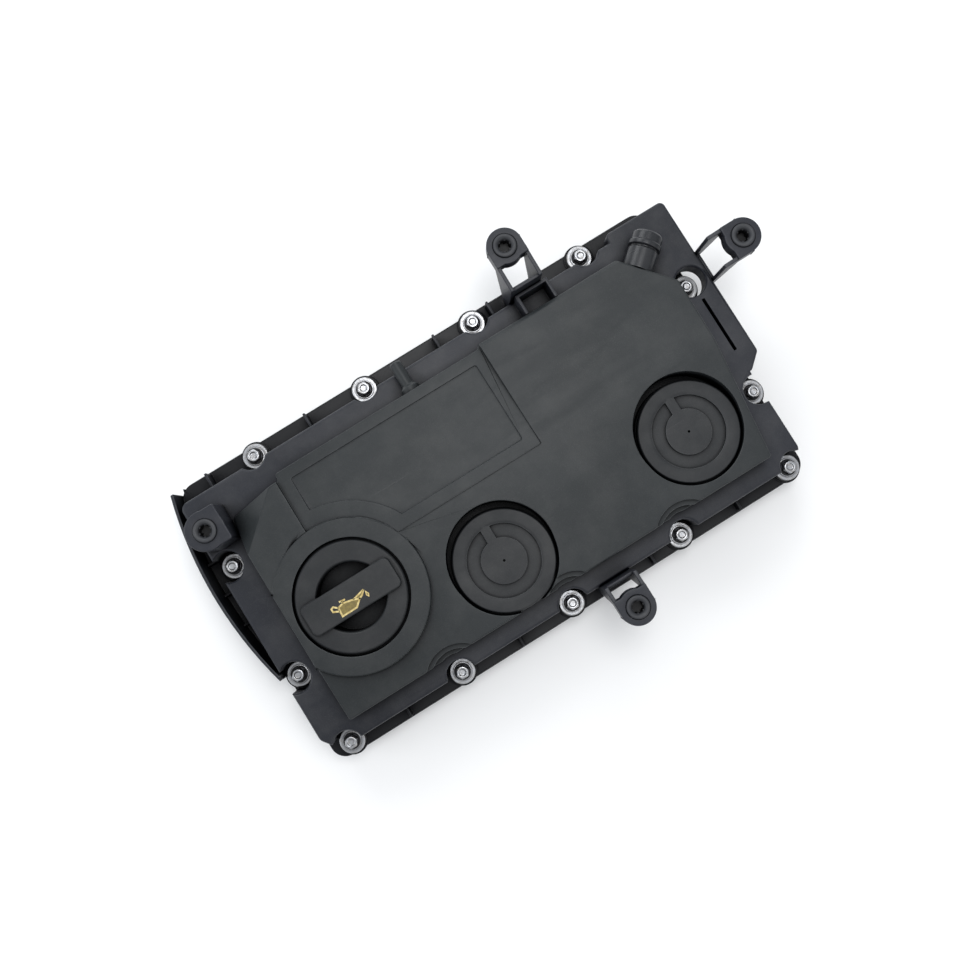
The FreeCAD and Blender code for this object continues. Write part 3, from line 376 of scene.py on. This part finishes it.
def mouldedPlastic(name, look):
    material, tree, shader, vector = startMaterial(name)
    grain = placeGroup(tree, grainGroup, vector, Grain_Size=look["grainSize"])
    marks = placeGroup(tree, handlingGroup, vector)
    edge = placeGroup(tree, edgeGroup, vector, Reach=look["softEdge"] * plasticWear["rubAndHighlightReach"])
    dust = placeGroup(tree, dustGroup, vector)
    crevice = placeGroup(tree, creviceGroup, vector)
    low = placeGroup(tree, lowGroup, vector)
    shutGloss = look["gloss"] * plasticWear["shutGloss"]
    # painted shade: reflections turned down where a spot is shut in
    gloss = remap(tree, crevice.outputs["Open"], 0.0, 1.0, shutGloss, look["gloss"])
    tree.links.new(gloss, shader.inputs["Specular IOR Level"])
    colour = mixColour(tree, marks.outputs["Cloud"], look["base"], look["pale"])
    layers = (
        (grain.outputs["Fleck"], plasticWear["fleck"], look["rubbedAndHighlight"]),
        # edges drawn pale: partly wear, partly painted highlight
        (edge.outputs["RubAndHighlight"], plasticWear["rubAndHighlight"], look["rubbedAndHighlight"]),
        (dust.outputs["Dust"], look["dust"], dustTone),
        # painted shade, darker towards the bottom
        (low.outputs["PaintedShade"], look["lowShade"], look["gap"]),
        # joints drawn dark: dirt and painted shade
        (crevice.outputs["GrimeAndShade"], plasticWear["grimeAndShade"], look["gap"]),
    )
    for mask, share, tone in layers:
        colour = mixColour(tree, scaled(tree, mask, share), colour, tone)
    # painted shade: recesses drawn dark by how shut in they are
    colour = mixColour(tree, crevice.outputs["Open"], look["gap"], colour)
    tree.links.new(colour, shader.inputs["Base Color"])
    smudge, cloud = (scaled(tree, marks.outputs[label], 0.5) for label in ("Smudge", "Cloud"))
    rough = remap(tree, maths(tree, "ADD", smudge, cloud), 0.0, 1.0, *look["rough"])
    shine = scaled(tree, marks.outputs["Scratch"], plasticWear["scratchShine"])
    tree.links.new(maths(tree, "SUBTRACT", rough, shine), shader.inputs["Roughness"])
    addBump(tree, shader, scratchedHeight(tree, grain, marks, 0.6), look["grainDepth"], look["softEdge"])
    return material


steelWear = {"rubAndHighlight": 0.5, "rubAndHighlightReach": 0.0004, "bright": (0.85, 0.85, 0.86), "shutReach": 0.004, "grimeAndShade": 0.8,
             "grainDepth": 0.000012, "softEdge": 0.00025}
metalLooks = {
    "zincSteel": {
        "base": (0.44, 0.45, 0.47), "tint": (0.31, 0.30, 0.29), "rough": (0.28, 0.46), "grainSize": 5200.0,
        "gap": (0.03, 0.03, 0.035),
    },
    "springSteel": {
        "base": (0.42, 0.42, 0.43), "tint": (0.30, 0.28, 0.26), "rough": (0.28, 0.46), "grainSize": 4200.0,
        "gap": (0.03, 0.03, 0.03),
    },
}


def platedSteel(name, look):
    material, tree, shader, vector = startMaterial(name)
    shader.inputs["Metallic"].default_value = 1.0
    grain = placeGroup(tree, grainGroup, vector, Grain_Size=look["grainSize"])
    marks = placeGroup(tree, handlingGroup, vector)
    edge = placeGroup(tree, edgeGroup, vector, Reach=steelWear["rubAndHighlightReach"])
    bloom = remap(tree, noise(tree, vector, 420.0, 4.0, 0.6), 0.42, 0.68)
    colour = mixColour(tree, bloom, look["base"], look["tint"])
    # edges drawn bright: partly wear, partly painted highlight
    rubbedAndHighlight = scaled(tree, edge.outputs["RubAndHighlight"], steelWear["rubAndHighlight"])
    colour = mixColour(tree, rubbedAndHighlight, colour, steelWear["bright"])
    crevice = placeGroup(tree, creviceGroup, vector, Reach=steelWear["shutReach"])
    # joints drawn dark: dirt and painted shade
    grimeAndShade = scaled(tree, crevice.outputs["GrimeAndShade"], steelWear["grimeAndShade"])
    colour = mixColour(tree, grimeAndShade, colour, look["gap"])
    # painted shade: recesses drawn dark by how shut in they are
    colour = mixColour(tree, crevice.outputs["Open"], look["gap"], colour)
    tree.links.new(colour, shader.inputs["Base Color"])
    wear = maths(tree, "ADD", scaled(tree, bloom, 0.6), scaled(tree, marks.outputs["Smudge"], 0.4))
    tree.links.new(remap(tree, wear, 0.0, 1.0, *look["rough"]), shader.inputs["Roughness"])
    height = scratchedHeight(tree, grain, marks, 0.8)
    addBump(tree, shader, height, steelWear["grainDepth"], steelWear["softEdge"])
    return material


rubberWear = {
    "grainSize": 3800.0, "grainDepth": 0.00004, "softEdge": 0.0003, "gloss": 0.3, "shutReach": 0.008,
    "gap": (0.001, 0.001, 0.0015), "bloom": (0.07, 0.07, 0.07), "dustTone": (0.4, 0.39, 0.37), "dust": 0.06,
}
rubberLooks = {
    "bushRubber": {"base": (0.008, 0.008, 0.009), "pale": (0.018, 0.018, 0.019), "rough": (0.56, 0.74)},
    "gasketRubber": {"base": (0.018, 0.018, 0.019), "pale": (0.034, 0.034, 0.034), "rough": (0.5, 0.7)},
    "grommetRubber": {"base": (0.022, 0.023, 0.027), "pale": (0.036, 0.038, 0.043), "rough": (0.46, 0.62)},
}


def mattRubber(name, look):
    material, tree, shader, vector = startMaterial(name)
    grain = placeGroup(tree, grainGroup, vector, Grain_Size=rubberWear["grainSize"])
    marks = placeGroup(tree, handlingGroup, vector)
    dust = placeGroup(tree, dustGroup, vector)
    colour = mixColour(tree, marks.outputs["Cloud"], look["base"], look["pale"])
    bloom = remap(tree, noise(tree, vector, 240.0, 5.0, 0.7), 0.48, 0.8, 0.0, 0.35)
    colour = mixColour(tree, bloom, colour, rubberWear["bloom"])
    crevice = placeGroup(tree, creviceGroup, vector, Reach=rubberWear["shutReach"])
    shader.inputs["Specular IOR Level"].default_value = rubberWear["gloss"]
    dusty = scaled(tree, dust.outputs["Dust"], rubberWear["dust"])
    colour = mixColour(tree, dusty, colour, rubberWear["dustTone"])
    # painted shade: recesses drawn dark by how shut in they are
    colour = mixColour(tree, crevice.outputs["Open"], rubberWear["gap"], colour)
    tree.links.new(colour, shader.inputs["Base Color"])
    tree.links.new(remap(tree, marks.outputs["Smudge"], 0.0, 1.0, *look["rough"]), shader.inputs["Roughness"])
    addBump(tree, shader, grain.outputs["Height"], rubberWear["grainDepth"], rubberWear["softEdge"])
    return material


printLooks = {
    "printedInk": {"ink": (0.42, 0.31, 0.10), "bright": (0.66, 0.54, 0.24), "under": (0.09, 0.08, 0.04)},
    "printedShade": {"ink": (0.13, 0.095, 0.02), "bright": (0.20, 0.15, 0.035), "under": (0.03, 0.03, 0.02)},
}
printWear = {"grainSize": 2400.0, "grainDepth": 0.00004, "rough": (0.42, 0.6), "worn": 0.55}


def printedInk(name, look):
    # pad-printed ink, thin and broken where the grain of the plastic stands up through it
    material, tree, shader, vector = startMaterial(name)
    grain = placeGroup(tree, grainGroup, vector, Grain_Size=printWear["grainSize"])
    patch = remap(tree, noise(tree, vector, 520.0, 4.0, 0.6), 0.4, 0.62)
    colour = mixColour(tree, patch, look["ink"], look["bright"])
    worn = remap(tree, noise(tree, vector, 1500.0, 3.0, 0.7), 0.6, 0.7, 0.0, printWear["worn"])
    colour = mixColour(tree, worn, colour, look["under"])
    tree.links.new(colour, shader.inputs["Base Color"])
    tree.links.new(remap(tree, patch, 0.0, 1.0, *printWear["rough"]), shader.inputs["Roughness"])
    addBump(tree, shader, grain.outputs["Height"], printWear["grainDepth"])
    return material


finishes = {name: mouldedPlastic(name, look) for name, look in plasticLooks.items()}
finishes.update({name: platedSteel(name, look) for name, look in metalLooks.items()})
finishes.update({name: mattRubber(name, look) for name, look in rubberLooks.items()})
finishes.update({name: printedInk(name, look) for name, look in printLooks.items()})
finishOfSlot = {
    "cover_plastic": "coverPlastic", "lid_plastic": "lidPlastic", "cap_plastic": "capPlastic",
    "port_plastic": "portPlastic", "rubber": "bushRubber", "gasket_rubber": "gasketRubber",
    "zinc_steel": "zincSteel", "spring_steel": "springSteel",
}
print("finishes made:", len(finishes))


def setFinish(piece, finish):
    piece.data.materials.clear()
    piece.data.materials.append(finishes[finish])


def addPiece(name, shape, body, finish):
    mesh = bpy.data.meshes.new(name)
    shape.to_mesh(mesh)
    shape.free()
    piece = bpy.data.objects.new(name, mesh)
    bpy.context.scene.collection.objects.link(piece)
    setFinish(piece, finish)
    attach(piece, body)
    return piece


def shadeByAngle(piece, angle):
    mesh = piece.data
    mesh.shade_smooth()
    shape = bmesh.new()
    shape.from_mesh(mesh)
    for edge in shape.edges:
        edge.smooth = edge.is_manifold and edge.calc_face_angle(pi) < radians(angle)
    shape.to_mesh(mesh)
    shape.free()


def addFaceWeights(piece):
    weighted = piece.modifiers.new("evenFaces", "WEIGHTED_NORMAL")
    weighted.mode = "FACE_AREA"
    weighted.keep_sharp = True
    weighted.weight = 60


weldGap = 0.002  # corners nearer than this in mm are one corner
smoothBelow = 38  # a mould's face runs on smoothly up to this angle in degrees
edgeSoftening = {  # radius in mm, the angle in degrees past which an edge is rounded, and its steps
    "cover_body": {"radius": 0.45, "angle": 42, "steps": 2},
    "separator_lid": {"radius": 0.5, "angle": 25, "steps": 2},
    "separator_baffle": {"radius": 0.25, "angle": 42, "steps": 2},
    "breather_port": {"radius": 0.3, "angle": 32, "steps": 2},
    "filler_cap": {"radius": 0.45, "angle": 32, "steps": 3},
    "back_arm": {"radius": 0.5, "angle": 40, "steps": 3},
    "right_arm": {"radius": 0.5, "angle": 40, "steps": 3},
    "front_arm": {"radius": 0.5, "angle": 40, "steps": 3},
    "corner_post": {"radius": 0.4, "angle": 40, "steps": 2},
    "regulator_cap_1": {"radius": 0.3, "angle": 32, "steps": 2},
    "regulator_cap_2": {"radius": 0.3, "angle": 32, "steps": 2},
    "cover_bolts": {"radius": 0.22, "angle": 34, "steps": 2},
    "bolt_sleeves": {"radius": 0.18, "angle": 34, "steps": 2},
    "cover_gasket": {"radius": 0.5, "angle": 40, "steps": 3},
}


def softenedCopy(name, soft):
    # the same shape with its sharp corners rounded, as a mould or a press leaves them
    shape = bmesh.new()
    shape.from_mesh(nodes[name].data)
    bmesh.ops.remove_doubles(shape, verts=shape.verts, dist=weldGap * mm)
    bmesh.ops.dissolve_degenerate(shape, edges=shape.edges, dist=weldGap * mm)
    bmesh.ops.dissolve_limit(
        shape, angle_limit=radians(0.5), use_dissolve_boundaries=False, verts=shape.verts, edges=shape.edges
    )
    corners = [
        edge for edge in shape.edges
        if edge.is_manifold and edge.calc_face_angle(0.0) > radians(soft["angle"])
    ]
    bmesh.ops.bevel(
        shape, geom=corners, affect="EDGES", offset=soft["radius"] * mm, offset_type="OFFSET",
        segments=soft["steps"], profile=0.5, clamp_overlap=False, material=-1,
    )
    bmesh.ops.triangulate(shape, faces=[face for face in shape.faces if len(face.verts) > 4])
    piece = addPiece(name + "_moulded", shape, bodyOf[name], finishOfSlot[slotOf[name]])
    shadeByAngle(piece, smoothBelow)
    addFaceWeights(piece)
    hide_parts(name)


for name, soft in edgeSoftening.items():
    softenedCopy(name, soft)
    print("softened", name)


def squashedSpring(key):
    # a copy of the regulator spring, shaded and attached to the spring's body
    name = f"valve_spring_{key}"
    shape = bmesh.new()
    shape.from_mesh(nodes[name].data)
    piece = addPiece(name + "_coiled", shape, bodyOf[name], finishOfSlot[slotOf[name]])
    shadeByAngle(piece, 60)
    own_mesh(piece)
    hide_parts(name)


for key in (1, 2):
    squashedSpring(key)


shapedNodes = set(edgeSoftening) | {"valve_spring_1", "valve_spring_2"}
for name in slotOf:
    if name not in shapedNodes:
        setFinish(nodes[name], finishOfSlot[slotOf[name]])
        nodes[name].data.shade_smooth()
print("frame's own pieces finished")


grommetLook = {
    "bore": 4.1, "outer": 7.7, "ribs": 6, "ribRadius": 0.95, "lipHeight": 1.2, "depth": 9.6, "sole": 1.6,
}


def makeGrommet(nodeName, look):
    low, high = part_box(nodeName)
    bore, outer, depth, sole = (look[key] * mm for key in ("bore", "outer", "depth", "sole"))
    lip = look["lipHeight"] * mm
    centre = Vector(((low.x + high.x) / 2, (low.y + high.y) / 2, high.z - lip))
    profile = [
        (0.0, -depth), (outer - 0.9 * mm, -depth), (outer, -depth + 0.9 * mm), (outer, 0.25 * lip),
        (outer - 0.25 * mm, 0.75 * lip), (outer - 0.8 * mm, lip), (bore + 2.2 * mm, lip),
        (bore + 1.3 * mm, 0.8 * lip), (bore + 0.5 * mm, 0.1 * lip), (bore, -0.6 * lip),
        (bore, sole - depth), (0.0, sole - depth),
    ]
    shape = bmesh.new()
    ring = [shape.verts.new((radius, 0.0, height)) for radius, height in profile]
    edges = [shape.edges.new((ring[i], ring[i + 1])) for i in range(len(ring) - 1)]
    bmesh.ops.spin(
        shape, geom=ring + edges, cent=(0, 0, 0), axis=(0, 0, 1), dvec=(0, 0, 0), angle=2 * pi, steps=64,
        use_merge=True, use_duplicate=False,
    )
    bmesh.ops.remove_doubles(shape, verts=shape.verts, dist=0.001 * mm)
    for k in range(look["ribs"]):
        turn = 2 * pi * k / look["ribs"]
        rib = bmesh.ops.create_cone(
            shape, cap_ends=True, cap_tris=False, segments=12, radius1=look["ribRadius"] * mm,
            radius2=look["ribRadius"] * 0.7 * mm, depth=depth - sole,
        )["verts"]
        place = Vector((
            (bore + 0.1 * mm) * cos(turn), (bore + 0.1 * mm) * sin(turn), (sole - depth - 1.6 * mm) / 2
        ))
        bmesh.ops.translate(shape, verts=rib, vec=place)
    bmesh.ops.recalc_face_normals(shape, faces=shape.faces)
    bmesh.ops.translate(shape, verts=shape.verts, vec=centre)
    piece = addPiece(nodeName + "_ribbed", shape, bodyOf[nodeName], "grommetRubber")
    shadeByAngle(piece, 40)
    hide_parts(nodeName)


for corner in ("back", "right", "front", "post"):
    makeGrommet(corner + "_grommet", grommetLook)
print("grommets made")


symbolLook = {"place": (-15.6, -8.4), "proud": 0.01, "thick": 0.05, "fillThick": 0.03}

# strokes of an oil can in a box 27 mm wide and 11 high: points, a width, and whether the stroke closes
symbolStrokes = [
    ([(4.8, 0.6), (15.4, 0.7), (19.8, 4.6), (16.2, 6.1), (12.6, 6.9), (9.2, 7.7), (5.2, 6.6)], 1.15, True),
    ([(19.4, 4.4), (22.2, 5.6), (24.9, 8.2)], 1.05, False),
    ([(16.0, 6.2), (20.2, 7.2), (24.9, 8.4)], 0.95, False),
    ([(5.2, 6.4), (2.6, 8.8), (0.9, 8.2), (1.0, 6.1), (4.9, 4.3)], 1.15, False),
    ([(8.9, 7.6), (9.4, 9.4)], 1.1, False),
    ([(7.4, 9.6), (11.6, 9.1)], 1.1, False),
    ([(25.4, 6.4), (26.3, 4.4), (25.6, 3.0), (24.8, 4.4)], 0.8, True),
]
symbolFill = [
    (4.8, 0.6), (15.4, 0.7), (19.8, 4.6), (24.9, 8.3), (20.2, 7.1), (16.2, 6.1), (12.6, 6.9), (9.2, 7.7),
    (5.2, 6.6),
]


def raiseFaces(shape, faces, thick):
    raised = bmesh.ops.extrude_face_region(shape, geom=faces)["geom"]
    top = [item for item in raised if isinstance(item, bmesh.types.BMVert)]
    bmesh.ops.translate(shape, verts=top, vec=(0, 0, thick * mm))


def addStroke(shape, points, width, closes, thick):
    # a mitred ribbon along the points, drawn as one band of quads and then given its thickness
    count = len(points)
    spots = [Vector((x * mm, y * mm, 0.0)) for x, y in points]
    pairs = []
    for i, spot in enumerate(spots):
        before = spots[i - 1] if i or closes else spot
        after = spots[(i + 1) % count] if i + 1 < count or closes else spot
        arrive = (spot - before).normalized() if before != spot else (after - spot).normalized()
        leave = (after - spot).normalized() if after != spot else arrive
        along = (arrive + leave).normalized()
        side = Vector((-along.y, along.x, 0.0))
        reach = width * mm / 2 / max(side.dot(Vector((-arrive.y, arrive.x, 0.0))), 0.5)
        pairs.append([shape.verts.new(spot + side * reach), shape.verts.new(spot - side * reach)])
    bands = [(pairs[i], pairs[(i + 1) % count]) for i in range(count if closes else count - 1)]
    raiseFaces(shape, [shape.faces.new((a[0], a[1], b[1], b[0])) for a, b in bands], thick)


def placeSymbol(name, shape, look, finish):
    low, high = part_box("filler_cap")
    centre = (low + high) / 2
    across, up = look["place"]
    corner = Vector((centre.x + across * mm, centre.y + up * mm, high.z + look["proud"] * mm))
    bmesh.ops.recalc_face_normals(shape, faces=shape.faces)
    bmesh.ops.translate(shape, verts=shape.verts, vec=corner)
    addPiece(name, shape, bodyOf["filler_cap"], finish)


def makeSymbol(look, strokes, fill):
    lines = bmesh.new()
    for points, width, closes in strokes:
        addStroke(lines, points, width, closes, look["thick"])
    placeSymbol("oil_can_symbol", lines, look, "printedInk")
    patch = bmesh.new()
    sheet = patch.faces.new([patch.verts.new((x * mm, y * mm, 0.0)) for x, y in fill])
    raiseFaces(patch, [sheet], look["fillThick"])
    bmesh.ops.triangulate(patch, faces=[face for face in patch.faces if len(face.verts) > 4])
    placeSymbol("oil_can_fill", patch, look, "printedShade")


makeSymbol(symbolLook, symbolStrokes, symbolFill)
print("symbol made")


stageLook = {
    "floorSize": 6.0, "floorTone": 0.92, "floorRough": 0.7, "worldTone": (0.93, 0.96, 1.0),
    "worldStrength": 0.55,
}


def makeFloor(look):
    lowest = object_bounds()[0].z
    shape = bmesh.new()
    bmesh.ops.create_grid(shape, x_segments=1, y_segments=1, size=look["floorSize"])
    bmesh.ops.translate(shape, verts=shape.verts, vec=(0, 0, lowest))
    mesh = bpy.data.meshes.new("floor")
    shape.to_mesh(mesh)
    shape.free()
    floor = bpy.data.objects.new("floor", mesh)
    bpy.context.scene.collection.objects.link(floor)
    material, tree, shader, vector = startMaterial("paleFloor")
    tone = remap(tree, noise(tree, vector, 3.0), 0.0, 1.0, look["floorTone"] - 0.01, look["floorTone"] + 0.01)
    tree.links.new(tone, shader.inputs["Base Color"])
    shader.inputs["Roughness"].default_value = look["floorRough"]
    floor.data.materials.append(material)
    floor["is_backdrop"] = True


lightLooks = {  # metres and watts
    "overhead": {"place": (0.16, 0.15, 1.45), "aim": (0, 0, 0), "size": (0.6, 0.65), "power": 8.5,
                 "tint": (1.0, 1.0, 1.0)},
    "backWindow": {"place": (0.25, 1.35, 0.9), "aim": (0, 0, 0.02), "size": (1.4, 0.8), "power": 13.0,
                   "tint": (0.97, 0.99, 1.0)},
    "leftWindow": {"place": (-1.3, 0.5, 0.8), "aim": (0, 0, 0.02), "size": (0.8, 1.0), "power": 6.0,
                   "tint": (0.95, 0.98, 1.0)},
    "rightFill": {"place": (0.5, -1.5, 0.9), "aim": (0, -0.15, 0.0), "size": (1.2, 0.9), "power": 6.0,
                  "tint": (1.0, 0.98, 0.95)},
}


def addSoftLight(name, look):
    lamp = bpy.data.lights.new(name, "AREA")
    lamp.shape = "RECTANGLE"
    lamp.size, lamp.size_y = look["size"]
    lamp.energy = look["power"]
    lamp.color = look["tint"]
    light = bpy.data.objects.new(name, lamp)
    light.location = look["place"]
    light.rotation_mode = "QUATERNION"
    light.rotation_quaternion = (Vector(look["aim"]) - Vector(look["place"])).to_track_quat("-Z", "Y")
    bpy.context.scene.collection.objects.link(light)


def makeStage(look):
    makeFloor(look)
    world = bpy.data.worlds.new("studio")
    world.use_nodes = True
    background = world.node_tree.nodes["Background"]
    background.inputs["Color"].default_value = (*look["worldTone"], 1.0)
    background.inputs["Strength"].default_value = look["worldStrength"]
    bpy.context.scene.world = world
    for name, light in lightLooks.items():
        addSoftLight(name, light)


# place, lens and sensor in mm, turn in degrees
cameraLook = {"place": (-33.6, -25.2, 667.9), "turn": (3.35, -0.45, -31.84), "lens": 35.59, "sensor": 36.0}


def makeCamera(look):
    camera = bpy.data.cameras.new("camera")
    camera.lens = look["lens"]
    camera.sensor_width = look["sensor"]
    camera.clip_start = 0.01
    viewer = bpy.data.objects.new("camera", camera)
    viewer.location = Vector(look["place"]) * mm
    viewer.rotation_euler = Euler([radians(turn) for turn in look["turn"]], "XYZ")
    bpy.context.scene.collection.objects.link(viewer)
    bpy.context.scene.camera = viewer


makeStage(stageLook)
makeCamera(cameraLook)
bpy.context.scene.view_settings.view_transform = "Standard"
print("stage and camera set")
